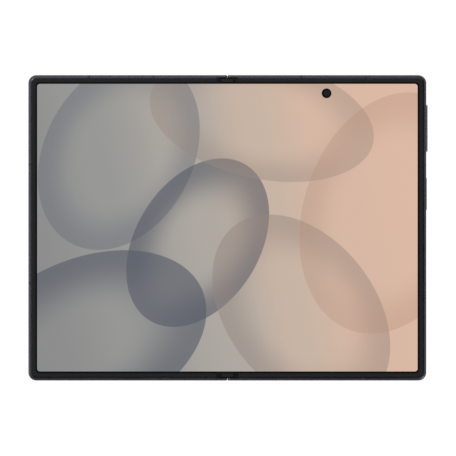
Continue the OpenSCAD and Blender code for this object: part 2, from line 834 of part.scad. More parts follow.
module charging_port_shell() color([0.6, 0.6, 0.62]) lifted() {
    difference() {
        end_stadium(port_x, port_z, port_length + 2 * port_wall, port_height + 2 * port_wall,
            -port_mouth, port_back);
        end_stadium(port_x, port_z, port_length, port_height,
            -port_mouth - over, port_back - port_back_wall);
    }
}

module charging_port_tongue() color([0.1, 0.1, 0.1]) lifted() {
    root = port_back - port_back_wall;
    block([port_x - tongue_width / 2, root - tongue_length, port_z - tongue_thickness / 2],
        [port_x + tongue_width / 2, root, port_z + tongue_thickness / 2]);
}

module card_reader() color([0.7, 0.7, 0.72]) lifted() {
    inner_side = reader_side - reader_sheet;
    slot_half = tray_thickness / 2 + 1.5 * tray_fit;
    difference() {
        block([2 * tray_x - reader_side, -bay_y + 0.2, port_z - slot_half - reader_sheet],
            [reader_side, reader_end, plate_bottom]);
        block([2 * tray_x - inner_side, -bay_y - over, port_z - slot_half],
            [inner_side, reader_end - reader_sheet, port_z + slot_half]);
    }
}

module loudspeaker() color([0.15, 0.15, 0.15]) lifted() {
    block([speaker_centre - speaker_box / 2, -bay_y, ledge_top + 0.1],
        [speaker_centre + speaker_box / 2, -bay_y + speaker_depth, plate_bottom]);
}

module vibration_motor() color([0.65, 0.65, 0.66]) lifted() {
    block([bay_x - 2 - motor_width, -bay_y + 1.5, ledge_top + 0.2],
        [bay_x - 2, lower_roof - part_gap, plate_bottom]);
}

// A strip along the wall with one dome under the power key and two under the volume key
module key_switches() color([0.75, 0.6, 0.3]) lifted() {
    strip_end = bay_x - 0.7;
    block([strip_end - switch_strip, power_y - power_length / 2 - 1, key_height_centre - key_width / 2],
        [strip_end, volume_y + volume_length / 2, plate_bottom]);
    for (y = [power_y, volume_y - volume_length / 3, volume_y + volume_length / 3]) {
        translate([strip_end - 0.1, y, key_height_centre]) rotate([0, 90, 0]) cylinder(h = 0.5, r = 0.9);
    }
}

module magnets() {
    for (y = [lower_roof + magnet_length / 2, lower_roof - magnet_length]) {
        block([bay_x - 0.1 - magnet_width, y, plate_bottom - 1.8],
            [bay_x - 0.1, y + magnet_length, plate_bottom]);
    }
}

module right_magnets() color([0.55, 0.55, 0.57]) lifted() {
    magnets();
}

// Each arm: a hub on the shaft, a web down from it with a guard wall, a neck out of the spine and a
// foot in the half
module hinge_arms() {
    for (start = module_starts) {
        y = start + arm_at;
        middle = y + arm_length / 2;
        difference() {
            union() {
                guard_wall(y, arm_length);
                fold_rod(axis_x, axis_height, hub_radius, y, arm_length);
                block([axis_x - web_half, y, neck_bottom], [axis_x + web_half, y + arm_length, axis_height]);
                block([axis_x, y, neck_bottom], [foot_start + 0.1, y + arm_length, neck_bottom + neck]);
                block([foot_start, middle - foot_length / 2, ledge_top],
                    [foot_end, middle + foot_length / 2, ledge_top + foot_height]);
            }
            fold_rod(axis_x, axis_height, shaft_radius, y - over, arm_length + 2 * over);
            foot_screw_places() cylinder(h = rim_top, r = screw_radius);
        }
    }
}

module right_hinge_arms() color([0.6, 0.6, 0.62]) lifted() {
    hinge_arms();
}

module hinge_shafts() {
    for (start = module_starts) {
        fold_rod(axis_x, axis_height, shaft_radius, start + 0.1, module_length - 0.2);
    }
}

module right_hinge_shafts() color([0.7, 0.7, 0.72]) lifted() {
    hinge_shafts();
}

// Gear outline: straight flanked teeth, wider at the root
function tooth(i, turn) = [for (corner = [[gear_pitch - dedendum, -0.34], [gear_pitch + addendum, -0.14],
    [gear_pitch + addendum, 0.14], [gear_pitch - dedendum, 0.34]])
    let (angle = turn + (i + corner[1]) * 360 / gear_teeth)
    [corner[0] * cos(angle), corner[0] * sin(angle)]];

module gear(x, z, turn, y_start) {
    translate([x, y_start + gear_width, z]) rotate([90, 0, 0]) linear_extrude(gear_width) {
        polygon([for (i = [0 : gear_teeth - 1]) for (p = tooth(i, turn)) p]);
    }
}

// Turn of a gear that meshes with one of the given turn, lying in the given direction from it
function mate_turn(direction, turn) = 2 * direction + 180 - 180 / gear_teeth - turn;

right_direction = atan2(axis_height - idler_z, axis_x - idler_x);
right_idler_turn = 0;
right_gear_turn = mate_turn(right_direction, right_idler_turn);
left_idler_turn = mate_turn(180, right_idler_turn);
left_gear_turn = mate_turn(180 - right_direction, left_idler_turn);

module sync_gears(x, turn) {
    for (start = gear_starts) difference() {
        gear(x, axis_height, turn, start + gear_at);
        fold_rod(x, axis_height, shaft_radius, start + gear_at - over, gear_width + 2 * over);
    }
}

module sync_idler(x, turn) {
    for (start = gear_starts) {
        gear(x, idler_z, turn, start + gear_at);
        fold_rod(x, idler_z, idler_pin, start + gear_at - cheek, gear_width + 2 * cheek);
    }
}

module right_sync_gears() color([0.75, 0.75, 0.72]) lifted() {
    sync_gears(axis_x, right_gear_turn);
}

module right_sync_idler() color([0.75, 0.7, 0.6]) lifted() {
    sync_idler(idler_x, right_idler_turn);
}

module left_sync_idler() color([0.75, 0.7, 0.6]) lifted() {
    sync_idler(-idler_x, left_idler_turn);
}

module left_sync_gears() color([0.75, 0.75, 0.72]) lifted() {
    sync_gears(-axis_x, left_gear_turn);
}

module arm_screws() {
    foot_screw_places() screw(0, 0, back_glass + 0.05, ledge_top + foot_height);
}

module right_arm_screws() color([0.45, 0.45, 0.47]) lifted() {
    arm_screws();
}

// Keys and tray

module key(y, length, proud) {
    x_out = half_width + proud;
    x_low = bay_x + 0.1;
    run = length - key_width;
    bevel_x = x_out - key_bevel;
    side_stadium(y, key_height_centre, length, key_width, x_low, bevel_x);
    translate([0, y + run / 2, key_height_centre]) rotate([90, 0, 0]) linear_extrude(run) {
        polygon([[bevel_x, -key_width / 2], [x_out, -key_width / 2 + key_bevel],
            [x_out, key_width / 2 - key_bevel], [bevel_x, key_width / 2]]);
    }
    for (side = [-1, 1]) translate([bevel_x, y + side * run / 2, key_height_centre]) rotate([0, 90, 0]) {
        cylinder(h = key_bevel, r1 = key_width / 2, r2 = key_width / 2 - key_bevel);
    }
    block([x_low, y - length / 2 - key_flange_end, key_height_centre - key_width / 2],
        [x_low + key_flange, y + length / 2 + key_flange_end, key_height_centre + key_width / 2]);
}

module volume_key() color([0.34, 0.34, 0.36]) lifted() {
    key(volume_y, volume_length, volume_proud);
}

module power_key() color([0.34, 0.34, 0.36]) lifted() {
    key(power_y, power_length, power_proud);
}

module card_tray() color([0.33, 0.33, 0.36]) lifted() {
    y_out = -half_height;
    y_in = y_out + tray_length;
    pocket_half = tray_half - 0.5;
    difference() {
        union() {
            end_stadium(tray_x, port_z, tray_cap_length, tray_cap_height, y_out, y_out + tray_cap);
            block([tray_x - tray_half, y_out + tray_cap / 2, port_z - tray_thickness / 2],
                [tray_x + tray_half, y_in, port_z + tray_thickness / 2]);
        }
        block([tray_x - pocket_half, y_out + tray_cap + 0.7, port_z - 0.1],
            [tray_x + pocket_half, y_in - 0.6, port_z + over]);
        fold_rod(tray_x + tray_cap_length / 2 - 1.5, port_z, ejector_radius, y_out - over, tray_cap + over);
    }
}

// Wing plates: thin plates beside the spine that sink when the phone is shut
module wing_plate() {
    block([wing_start, -panel_y + 0.5, wing_height - wing_sheet / 2],
        [wing_pivot, panel_y - 0.5, wing_height + wing_sheet / 2]);
    for (y = runner_stations) {
        translate([wing_pivot, y + runner_length / 2, wing_height]) rotate([90, 0, 0]) {
            rotate([0, 0, 180]) linear_extrude(runner_length) intersection() {
                circle(r = runner_radius);
                polygon([[0, 0], [3, 0], [3, 3], [-3 * cos(180 - runner_sweep), 3 * sin(runner_sweep)]]);
            }
        }
    }
}

module right_wing_plate() color([0.5, 0.5, 0.52]) lifted() {
    wing_plate();
}

// Spine

module spine_section(radius) {
    for (side = [-1, 1]) translate([side * axis_x, axis_height]) circle(r = radius);
    translate([-axis_x, axis_height - radius]) square([2 * axis_x, radius + over]);
}

module spine_cover() color([0.3, 0.3, 0.33]) lifted() {
    difference() {
        along_fold(-spine_y, 2 * spine_y) spine_section(spine_radius);
        along_fold(-spine_y - over, 2 * (spine_y + over)) spine_section(spine_radius - spine_sheet);
        block([-10, -spine_y - over, spine_edge], [10, spine_y + over, rim_top + over]);
        for (start = module_starts) {
            block([-10, start + arm_at - 0.15, notch_height],
                [10, start + arm_at + arm_length + 0.15, rim_top]);
        }
        for (side = [-1, 1]) {
            block([-10, side * cable_y - cable_width / 2 - cable_room, notch_height],
                [10, side * cable_y + cable_width / 2 + cable_room, rim_top]);
        }
        bracket_screw_places() cylinder(h = spine_floor + over, r = screw_radius);
    }
}

module bracket_screw_places() {
    for (start = module_starts) {
        for (at = [gear_at + gear_width / 2, clip_at + clip_length / 2]) {
            translate([0, start + at, 0]) children();
        }
    }
}

module bracket_cheek(start, length) {
    block([-axis_x, start, spine_floor], [axis_x, start + length, spine_floor + base_height]);
    block([-axis_x - web_half, start, spine_floor + 0.15], [axis_x + web_half, start + length, axis_height]);
    for (side = [-1, 1]) {
        fold_rod(side * axis_x, axis_height, knuckle_radius, start, length);
        block([side * axis_x - 0.3, start, axis_height],
            [side * axis_x + 0.3, start + length, axis_height + knuckle_radius]);
    }
}

module hinge_brackets() color([0.5, 0.5, 0.52]) lifted() {
    for (start = module_starts) difference() {
        union() {
            block([-base_half_at_arms, start, spine_floor],
                [base_half_at_arms, start + module_length, spine_floor + base_height]);
            block([-base_half, start + cheek_b_at, spine_floor],
                [base_half, start + module_length, spine_floor + base_height]);
            for (at = [0, cheek_b_at, cheek_c_at, cheek_d_at]) bracket_cheek(start + at, cheek);
        }
        for (side = [-1, 1]) {
            fold_rod(side * axis_x, axis_height, shaft_radius + running_fit,
                start - over, module_length + 2 * over);
            fold_rod(side * idler_x, idler_z, idler_pin + running_fit, start + cheek_b_at - over,
                2 * cheek + gear_width + 2 * side_gap + 2 * over);
        }
        bracket_screw_places() cylinder(h = rim_top, r = screw_radius);
    }
}

module bracket_screws() color([0.45, 0.45, 0.47]) lifted() {
    bracket_screw_places() screw(0, 0, spine_floor - spine_sheet + 0.1, spine_floor + base_height);
}

// Spring clips that grip both shafts and hold the phone at any angle
module friction_clips() color([0.65, 0.65, 0.6]) lifted() {
    for (start = module_starts) difference() {
        union() {
            for (side = [-1, 1]) {
                fold_rod(side * axis_x, axis_height, hub_radius, start + clip_at, clip_length);
            }
            block([-axis_x, start + clip_at - side_gap, axis_height - 0.15],
                [axis_x, start + clip_at + clip_length, axis_height + 0.15]);
        }
        for (side = [-1, 1]) {
            fold_rod(side * axis_x, axis_height, shaft_radius + running_fit, start, module_length);
            block([side * axis_x - 0.08, start, axis_height],
                [side * axis_x + 0.08, start + module_length, rim_top]);
        }
    }
}

module centre_plate() color([0.55, 0.55, 0.57]) lifted() {
    z_low = axis_height + knuckle_radius;
    difference() {
        block([-centre_plate_width / 2, -panel_y + 0.5, z_low],
            [centre_plate_width / 2, panel_y - 0.5, z_low + centre_sheet]);
        for (start = gear_starts) {
            block([-axis_x - 0.9, start + gear_at - 0.05, 0],
                [axis_x + 0.9, start + gear_at + gear_width + 0.05, rim_top]);
        }
    }
}

module spine_end_caps() color([0.17, 0.17, 0.18]) lifted() {
    y_low = panel_y + 0.15;
    for (side = [0, 1]) mirror([0, side, 0]) {
        intersection() {
            along_fold(y_low, spine_y - y_low) spine_section(spine_radius - spine_sheet - 0.02);
            block([-10, 0, spine_floor], [10, half_height, spine_edge]);
        }
        block([-axis_x, y_low, spine_floor], [axis_x, spine_y, spine_floor + 0.5]);
        block([-pad_width / 2, y_low, axis_height],
            [pad_width / 2, half_height - end_wall - pad_gap, pad_top]);
    }
}

// Flat cables that rise over the guards in the spine, each ending in a connector under the frame's plate
module hinge_cables() color([0.6, 0.35, 0.1]) lifted() {
    for (side = [-1, 1]) {
        y_low = side * cable_y - cable_width / 2;
        along_fold(y_low, cable_width) polygon([[-cable_end, cable_z], [-cable_foot, cable_z],
            [-cable_rise, cable_top_z], [cable_rise, cable_top_z], [cable_foot, cable_z],
            [cable_end, cable_z], [cable_end, cable_z + cable_thickness],
            [cable_foot, cable_z + cable_thickness], [cable_rise, cable_top_z + cable_thickness],
            [-cable_rise, cable_top_z + cable_thickness], [-cable_foot, cable_z + cable_thickness],
            [-cable_end, cable_z + cable_thickness]]);
        for (end = [-cable_end, cable_end - connector]) {
            block([end, y_low, cable_z], [end + connector, y_low + cable_width, plate_bottom]);
        }
    }
}

module fold_screen_panel() color([0.7, 0.66, 0.62]) lifted() {
    block([-fold_reach, -panel_y, screen_back], [fold_reach, panel_y, screen_top]);
}

// Left half

module left_frame() color([0.33, 0.33, 0.36]) lifted() {
    difference() {
        mirrored() half_frame();
        speaker_cuts(earpiece_x, bay_y - over);
    }
}

module left_antenna_breaks() color([0.24, 0.24, 0.25]) lifted() {
    mirrored() antenna_breaks();
}

module left_bezel_rim() color([0.15, 0.15, 0.16]) lifted() {
    mirrored() bezel_rim();
}

module left_backing_plate() color([0.2, 0.2, 0.22]) lifted() {
    mirrored() backing_plate();
}

module left_screen_panel() color([0.57, 0.57, 0.56]) lifted() {
    mirrored() half_plate(fold_reach, panel_x, panel_y, panel_corner, screen_back, screen_top);
}

module cover_glass() color([0.03, 0.03, 0.04]) lifted() {
    mirrored() edged_plate(glass_start, glass_x, glass_y, glass_corner, 0, back_glass, glass_edge, 0);
}

module cover_screen_panel() color([0.02, 0.02, 0.02]) lifted() {
    inset = ledge_width + 0.2;
    mirrored() difference() {
        half_plate(beam_end + inset, bay_x - inset, bay_y - inset, bay_corner,
            back_glass, back_glass + cover_panel);
        translate([cover_camera_x, cover_camera_y, 0]) cylinder(h = rim_top, r = cover_lens + 0.2);
    }
}

module cover_camera() color([0.05, 0.05, 0.07]) lifted() {
    neck_top = back_glass + cover_panel + 0.7;
    translate([-cover_camera_x, cover_camera_y, 0]) {
        translate([0, 0, back_glass]) cylinder(h = neck_top - back_glass, r = cover_lens);
        block([-small_camera / 2, -small_camera / 2, neck_top - 0.1],
            [small_camera / 2, small_camera / 2, plate_bottom]);
    }
}

module left_board() color([0.05, 0.2, 0.15]) lifted() {
    mirrored() difference() {
        block([inner_start, upper_floor + part_gap, board_bottom],
            [earpiece_centre - speaker_box / 2 - 2 * part_gap, bay_y - part_gap, plate_bottom]);
        block([cover_camera_x - camera_margin, cover_camera_y - camera_margin, 0],
            [cover_camera_x + camera_margin, bay_y + over, rim_top]);
    }
}

module left_battery() color([0.12, 0.12, 0.12]) lifted() {
    mirrored() block([inner_start, -bay_y + part_gap + 1.6, plate_bottom - battery + 0.1],
        [battery_end, upper_floor - part_gap, plate_bottom]);
}

module earpiece_speaker() color([0.15, 0.15, 0.15]) lifted() {
    mirrored() block([earpiece_centre - speaker_box / 2, bay_y - speaker_depth, ledge_top + 0.1],
        [earpiece_centre + speaker_box / 2, bay_y, plate_bottom]);
}

module left_magnets() color([0.55, 0.55, 0.57]) lifted() {
    mirrored() magnets();
}

module left_hinge_arms() color([0.6, 0.6, 0.62]) lifted() {
    mirrored() hinge_arms();
}

module left_hinge_shafts() color([0.7, 0.7, 0.72]) lifted() {
    mirrored() hinge_shafts();
}

module left_arm_screws() color([0.45, 0.45, 0.47]) lifted() {
    mirrored() arm_screws();
}

module left_wing_plate() color([0.5, 0.5, 0.52]) lifted() {
    mirrored() wing_plate();
}

right_frame();
right_antenna_breaks();
right_bezel_rim();
right_backing_plate();
right_screen_panel();
selfie_camera();
rear_glass();
camera_island();
lens_rings();
lens_windows();
rear_cameras();
flash_window();
main_board();
board_shields();
main_battery();
charging_coil();
lower_board();
charging_port_shell();
charging_port_tongue();
card_reader();
loudspeaker();
vibration_motor();
key_switches();
right_magnets();
right_hinge_arms();
right_hinge_shafts();
right_sync_gears();
right_arm_screws();
volume_key();
power_key();
card_tray();
right_wing_plate();
right_sync_idler();
spine_cover();
hinge_brackets();
bracket_screws();
friction_clips();
centre_plate();
spine_end_caps();
hinge_cables();
fold_screen_panel();
left_sync_idler();
left_wing_plate();
left_frame();
left_antenna_breaks();
left_bezel_rim();
left_backing_plate();
left_screen_panel();
cover_glass();
cover_screen_panel();
cover_camera();
left_board();
left_battery();
earpiece_speaker();
left_magnets();
left_hinge_arms();
left_hinge_shafts();
left_sync_gears();
left_arm_screws();
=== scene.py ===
# %% [markdown]
# # A folding phone, lying open
#
# The phone's hard parts come from the CAD model and stay exactly where it puts them. This lesson dresses
# them: first the light and the camera, then one finish after another, and last the pieces that bend or
# that need finer shapes than the CAD gives. Lengths are in metres, as Blender wants them, but they are
# written in millimetres and multiplied by `mm`, because a phone is thought of in millimetres.

# %% Load the model
import json
import math
import bmesh
import bpy
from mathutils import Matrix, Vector


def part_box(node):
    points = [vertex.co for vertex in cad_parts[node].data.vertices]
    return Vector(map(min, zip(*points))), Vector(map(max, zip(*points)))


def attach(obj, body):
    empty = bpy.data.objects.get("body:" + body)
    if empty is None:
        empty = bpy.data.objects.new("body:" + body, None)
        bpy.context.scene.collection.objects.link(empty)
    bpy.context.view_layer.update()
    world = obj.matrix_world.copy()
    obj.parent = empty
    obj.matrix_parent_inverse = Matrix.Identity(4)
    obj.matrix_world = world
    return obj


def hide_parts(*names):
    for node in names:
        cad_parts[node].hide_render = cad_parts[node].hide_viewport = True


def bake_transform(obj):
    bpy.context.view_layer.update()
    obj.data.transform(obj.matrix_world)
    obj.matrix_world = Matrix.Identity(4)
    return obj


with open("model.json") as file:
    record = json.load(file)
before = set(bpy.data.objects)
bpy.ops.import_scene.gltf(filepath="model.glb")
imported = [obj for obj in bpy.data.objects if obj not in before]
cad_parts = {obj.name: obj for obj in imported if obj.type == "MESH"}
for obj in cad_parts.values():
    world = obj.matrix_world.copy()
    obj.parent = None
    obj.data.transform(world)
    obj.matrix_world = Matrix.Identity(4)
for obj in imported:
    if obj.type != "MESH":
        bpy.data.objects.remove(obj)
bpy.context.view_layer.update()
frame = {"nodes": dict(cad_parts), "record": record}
nodes = frame["nodes"]
mm = 0.001

# %% [markdown]
# ## The camera
#
# The picture to match looks straight down on the screen and shows no perspective, so the camera hangs
# high above the phone with a very long lens. A camera made in Blender looks down its own -Z axis with
# +Y up, which is just what is wanted, so it needs no turning. The lens length follows from the width
# that the frame has to take in: 184.9 mm across.

# %% Camera
frame_width, camera_height = 184.9 * mm, 1.5
view_middle = (0.28 * mm, -0.07 * mm)
screen_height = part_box("right_screen_panel")[1].z
camera_data = bpy.data.cameras.new("camera")
camera_data.lens = camera_data.sensor_width * camera_height / frame_width
camera_data.clip_start = 0.05
camera_data.clip_end = 20
camera = bpy.data.objects.new("camera", camera_data)
camera.location = (*view_middle, screen_height + camera_height)
bpy.context.scene.collection.objects.link(camera)
bpy.context.scene.camera = camera
bpy.context.scene.view_settings.view_transform = "Standard"
print("lens", round(camera_data.lens), "mm")

# %% [markdown]
# ## Colours and nodes
#
# Colours are picked as sRGB hex values, but a shader reckons in linear light, so one function
# turns the one into the other. A second adds any node with its settings and links, and a third links
# finished patterns to the shader. Together they keep each material down to a handful of lines.

# %% Small helpers
def linear(hex_colour):
    """An sRGB hex colour as linear red, green, blue and alpha."""
    channels = [int(hex_colour[i:i + 2], 16) / 255 for i in (1, 3, 5)]
    return [c / 12.92 if c <= 0.04045 else ((c + 0.055) / 1.055) ** 2.4 for c in channels] + [1.0]


def add(tree, kind, inputs=None, stops=(), **settings):
    """A new node. Each input is a plain value or another node's output, and stops set a colour ramp."""
    made = tree.nodes.new(kind)
    for key, value in settings.items():
        setattr(made, key, value)
    for key, value in (inputs or {}).items():
        if isinstance(value, bpy.types.NodeSocket):
            tree.links.new(value, made.inputs[key])
        else:
            made.inputs[key].default_value = value
    while stops and len(made.color_ramp.elements) < len(stops):
        made.color_ramp.elements.new(0.5)
    for number, (position, colour) in enumerate(stops):
        made.color_ramp.elements[number].position = position
        made.color_ramp.elements[number].color = colour
    return made


def material(name, **fixed):
    """A material with a Principled shader, whose fixed values go straight onto its sockets."""
    made = bpy.data.materials.new(name)
    made.use_nodes = True
    tree = made.node_tree
    tree.nodes.clear()
    shader = add(tree, "ShaderNodeBsdfPrincipled", {k.replace("_", " "): v for k, v in fixed.items()})
    add(tree, "ShaderNodeOutputMaterial", {0: shader.outputs[0]})
    return made, tree, shader


def feed(tree, shader, **patterns):
    """Links each pattern to the shader's input of that name."""
    for name, pattern in patterns.items():
        tree.links.new(pattern, shader.inputs[name.replace("_", " ")])


finishes = {}
print("mid grey in linear light:", round(linear("#808080")[0], 3))

# %% [markdown]
# ## Light and floor
#
# Graphite metal and glass show mostly what surrounds them, so the room is made for its reflections. At
# the upper left it is very bright along the floor and dark above that. There the bevel beside the rim, on
# its right and bottom sides, finds only darkness and draws a thin black line. At the lower right the
# brightness reaches higher, so the same bevel is grey on the left and at the top. It fades a little
# towards the bottom. A wide soft lamp high at the upper left lights the metal's crest, and a small one at
# the lower right puts a glint in the upper left corner. Overhead the room stays dark, or the screen's
# black border would turn grey. The floor is white paper, and the camera sees it as almost plain white.

# %% Lamps, room and floor
def softbox(name, place, size, watts):
    lamp = bpy.data.lights.new(name, "AREA")
    lamp.shape = "RECTANGLE"
    lamp.size, lamp.size_y = size
    lamp.energy = watts
    holder = bpy.data.objects.new(name, lamp)
    holder.location = place
    holder.rotation_euler = Vector(place).to_track_quat("Z", "Y").to_euler()
    bpy.context.scene.collection.objects.link(holder)
    return holder


softbox("high_softbox", (-0.5, 0.6, 1.6), (1.2, 1.2), 3)
softbox("corner_softbox", (0.95, -0.95, 0.9), (0.5, 0.5), 4)

world = bpy.data.worlds.new("studio_room")
bpy.context.scene.world = world
world.use_nodes = True
room = world.node_tree
room.nodes.clear()
direction = add(room, "ShaderNodeTexCoord")
axis = add(room, "ShaderNodeSeparateXYZ", {0: direction.outputs["Generated"]})
towards = add(room, "ShaderNodeVectorMath", {0: direction.outputs["Generated"], 1: (-0.7, 0.7, 0)},
              operation="DOT_PRODUCT")
upper_left = add(room, "ShaderNodeMapRange", {"Value": towards.outputs["Value"], "From Min": -0.25,
                                              "From Max": 0.25})
near_bottom = add(room, "ShaderNodeMapRange", {"Value": axis.outputs["Y"], "From Min": -0.9,
                                               "From Max": -0.3, "To Min": 0.8, "To Max": 1.0})
# Each stop is the height of a direction, 0 at the floor and 1 overhead, and the brightness there
lower_right_levels = [(0.0, 0.08), (0.4, 0.25), (0.58, 0.85), (0.68, 0.7), (0.78, 0.2), (0.9, 0.06)]
upper_left_levels, upper_left_gain = [(0.0, 1.0), (0.34, 1.0), (0.48, 0.035)], 1.6
low, far = (add(room, "ShaderNodeValToRGB", {0: axis.outputs["Z"]}, [(at, (v, v, v, 1)) for at, v in levels])
            for levels in (lower_right_levels, upper_left_levels))
low = add(room, "ShaderNodeMath", {0: low.outputs[0], 1: near_bottom.outputs[0]}, operation="MULTIPLY")
far = add(room, "ShaderNodeMath", {0: far.outputs[0], 1: upper_left_gain}, operation="MULTIPLY")
level = add(room, "ShaderNodeMix", {0: upper_left.outputs[0], 2: low.outputs[0], 3: far.outputs[0]})
ray = add(room, "ShaderNodeLightPath")
seen = add(room, "ShaderNodeMix", {0: ray.outputs["Is Camera Ray"], 2: level.outputs[0], 3: 1.0})
glow = add(room, "ShaderNodeBackground", {"Color": linear("#fbfcff"), "Strength": seen.outputs[0]})
add(room, "ShaderNodeOutputWorld", {0: glow.outputs[0]})

bpy.ops.mesh.primitive_plane_add(size=4, location=(0, 0, 0))
floor = bpy.context.object
floor.name = "floor"
floor_paper, tree, shader = material("floor_paper", Roughness=0.9)
fibre = add(tree, "ShaderNodeTexNoise", {"Scale": 400.0, "Detail": 2.0})
tone = add(tree, "ShaderNodeMapRange", {"Value": fibre.outputs[0], "To Min": 0.86, "To Max": 0.9})
tree.links.new(tone.outputs[0], shader.inputs["Base Color"])
light_path = add(tree, "ShaderNodeLightPath")
white_strength, white_share = 1.06, 0.95
white = add(tree, "ShaderNodeEmission", {"Color": (1, 1, 1, 1), "Strength": white_strength})
share = add(tree, "ShaderNodeMath", {0: light_path.outputs["Is Camera Ray"], 1: white_share},
            operation="MULTIPLY")
paper = add(tree, "ShaderNodeMixShader", {0: share.outputs[0], 1: shader.outputs[0], 2: white.outputs[0]})
tree.links.new(paper.outputs[0], tree.nodes["Material Output"].inputs[0])
floor.data.materials.append(floor_paper)
print("two softboxes over a", floor.dimensions.x, "m floor")

# %% [markdown]
# ## Anodised aluminium
#
# The bands round the phone, its keys and the camera island are aluminium that was blasted with fine
# beads and dyed graphite. Beads leave dimples about 0.05 mm wide, too fine to show here, so the grain is
# drawn at 0.3 mm, and at half of that on the lens rings. To the eye it is a dark metal with a broad, soft
# shine: metallic 1, roughness from about 0.25 on the turned lens rings to 0.42 on the keys, and a slow
# drift in tone where hands have been. The keys are duller than the band, and their much lighter colour is
# painted light that stands in for the light on their narrow upright faces.

# %% Blasted metal
def blasted_metal(name, colour, worn, roughness, grain=0.3 * mm):
    made, tree, shader = material(name, Metallic=1.0)
    place = add(tree, "ShaderNodeTexCoord").outputs["Object"]
    drift = add(tree, "ShaderNodeTexNoise", {"Vector": place, "Scale": 1 / (14 * mm), "Detail": 3.0})
    tint = add(tree, "ShaderNodeMix", {0: drift.outputs[0], 6: linear(colour), 7: linear(worn)},
               data_type="RGBA")
    matt = add(tree, "ShaderNodeMapRange", {"Value": drift.outputs[0], "From Min": 0.3, "From Max": 0.7,
                                            "To Min": roughness - 0.05, "To Max": roughness + 0.05})
    dimples = add(tree, "ShaderNodeTexNoise", {"Vector": place, "Scale": 1 / grain, "Detail": 2.0})
    bump = add(tree, "ShaderNodeBump", {"Strength": 0.1, "Distance": 0.01 * mm,
                                        "Height": dimples.outputs[0]})
    feed(tree, shader, Base_Color=tint.outputs[2], Roughness=matt.outputs[0], Normal=bump.outputs[0])
    return made


finishes["frame_metal"] = blasted_metal("graphite_anodised_aluminium", "#626168", "#6a6970", 0.28)
# The keys' lighter tones are painted light, standing in for light on their narrow upright faces
finishes["key_metal"] = blasted_metal("graphite_key_painted_lighter", "#b2b1b9", "#bab9c1", 0.42)
finishes["ring_metal"] = blasted_metal("turned_graphite_ring", "#77767d", "#807f86", 0.25, 0.15 * mm)
finishes["spine_metal"] = blasted_metal("graphite_anodised_spine", "#5d5c63", "#66656c", 0.33)
print("aluminium:", [m.name for m in finishes.values()])

# %% [markdown]
# ## Moulded plastics
#
# The antenna breaks are moulded into the metal and machined flush with it. The rim round the screen is a
# softer, near-black plastic with a fine spark-eroded grain, drawn at 0.25 mm. Plastic has no colour in
# its shine: metallic 0 and an IOR of about 1.5. The grain breaks the shine up, so the rim looks velvety.

# %% Grained plastic
def grained_plastic(name, colour, light, roughness, grain=0.25 * mm):
    made, tree, shader = material(name, IOR=1.5)
    place = add(tree, "ShaderNodeTexCoord").outputs["Object"]
    grains = add(tree, "ShaderNodeTexVoronoi", {"Vector": place, "Scale": 1 / grain}, feature="SMOOTH_F1")
    cloud = add(tree, "ShaderNodeTexNoise", {"Vector": place, "Scale": 1 / (9 * mm), "Detail": 3.0})
    tint = add(tree, "ShaderNodeMix", {0: cloud.outputs[0], 6: linear(colour), 7: linear(light)},
               data_type="RGBA")
    matt = add(tree, "ShaderNodeMapRange", {"Value": cloud.outputs[0], "To Min": roughness - 0.06,
                                            "To Max": roughness + 0.06})
    bump = add(tree, "ShaderNodeBump", {"Strength": 0.4, "Distance": 0.012 * mm,
                                        "Height": grains.outputs[0]})
    feed(tree, shader, Base_Color=tint.outputs[2], Roughness=matt.outputs[0], Normal=bump.outputs[0])
    return made


finishes["antenna_plastic"] = grained_plastic("flush_antenna_plastic", "#3c3c40", "#424246", 0.45)
finishes["rim_plastic"] = grained_plastic("soft_black_rim", "#1a1b1b", "#1f2020", 0.6)
finishes["cap_plastic"] = grained_plastic("spine_cap_plastic", "#222224", "#28282a", 0.45)
finishes["black_plastic"] = grained_plastic("moulded_black_housing", "#161617", "#1c1c1e", 0.4)
finishes["camera_housing"] = grained_plastic("camera_housing_black", "#141416", "#19191b", 0.35)
print(len(finishes), "finishes so far")

# %% [markdown]
# ## The lit screen
#
# The screen is a layered plastic film over thin glass: very smooth, with a weak clear reflection, and its
# picture shines by itself. So the picture goes into the emission at strength 1, where a colour shows as
# it is written, and the base stays black. A coat against reflections lowers the film's IOR to 1.3. The
# picture is drawn from the place on the screen in millimetres: cool grey on the left runs into warm peach
# on the right, and large translucent ovals lie over each other, each darkest just inside its sharp edge.
# It ends in a black border with round corners and stops short of the camera hole in a black ring.

# %% Sizes and tones of the picture
panel_low, panel_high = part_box("left_screen_panel")[0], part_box("right_screen_panel")[1]
panel_width, panel_length = panel_high.x - panel_low.x, panel_high.y - panel_low.y
side_border, end_border = 0.77 * mm, 0.7 * mm
# The picture's middle, its corner radius and how far outside it the rim's lip covers the film, all in mm
picture_middle, picture_corner, lip_start = (0.02, 0.07, 0), 1.15, 0.57
# The base tones run from left to right over this many mm each way, leaning by a part of the height
tone_reach, tone_lean = 82.0, 0.22
base_tones = [(0.0, "#8c8d8c"), (0.22, "#989896"), (0.45, "#aea8a1"), (0.62, "#c8b4a4"), (0.8, "#d8b8a4"),
              (1.0, "#dcb9a5")]
# Centre and radii in mm, turn in degrees, how far the shade reaches in, its strength, its colour
ovals = [
    (-58, -46, 52, 33, 24, 0.75, 0.74, "#5b606c"), (-44, 30, 30, 41, -28, 0.55, 0.54, "#6d717b"),
    (-12, -6, 37, 25, 58, 0.7, 0.7, "#595e6a"), (14, 44, 46, 24, -12, 0.6, 0.42, "#97887f"),
    (30, -34, 30, 44, 38, 0.6, 0.5, "#94857e"), (66, 6, 35, 50, -18, 0.5, 0.36, "#b58f7c"),
]
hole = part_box("selfie_camera")
hole_x, hole_y = (hole[0].x + hole[1].x) / 2, (hole[0].y + hole[1].y) / 2
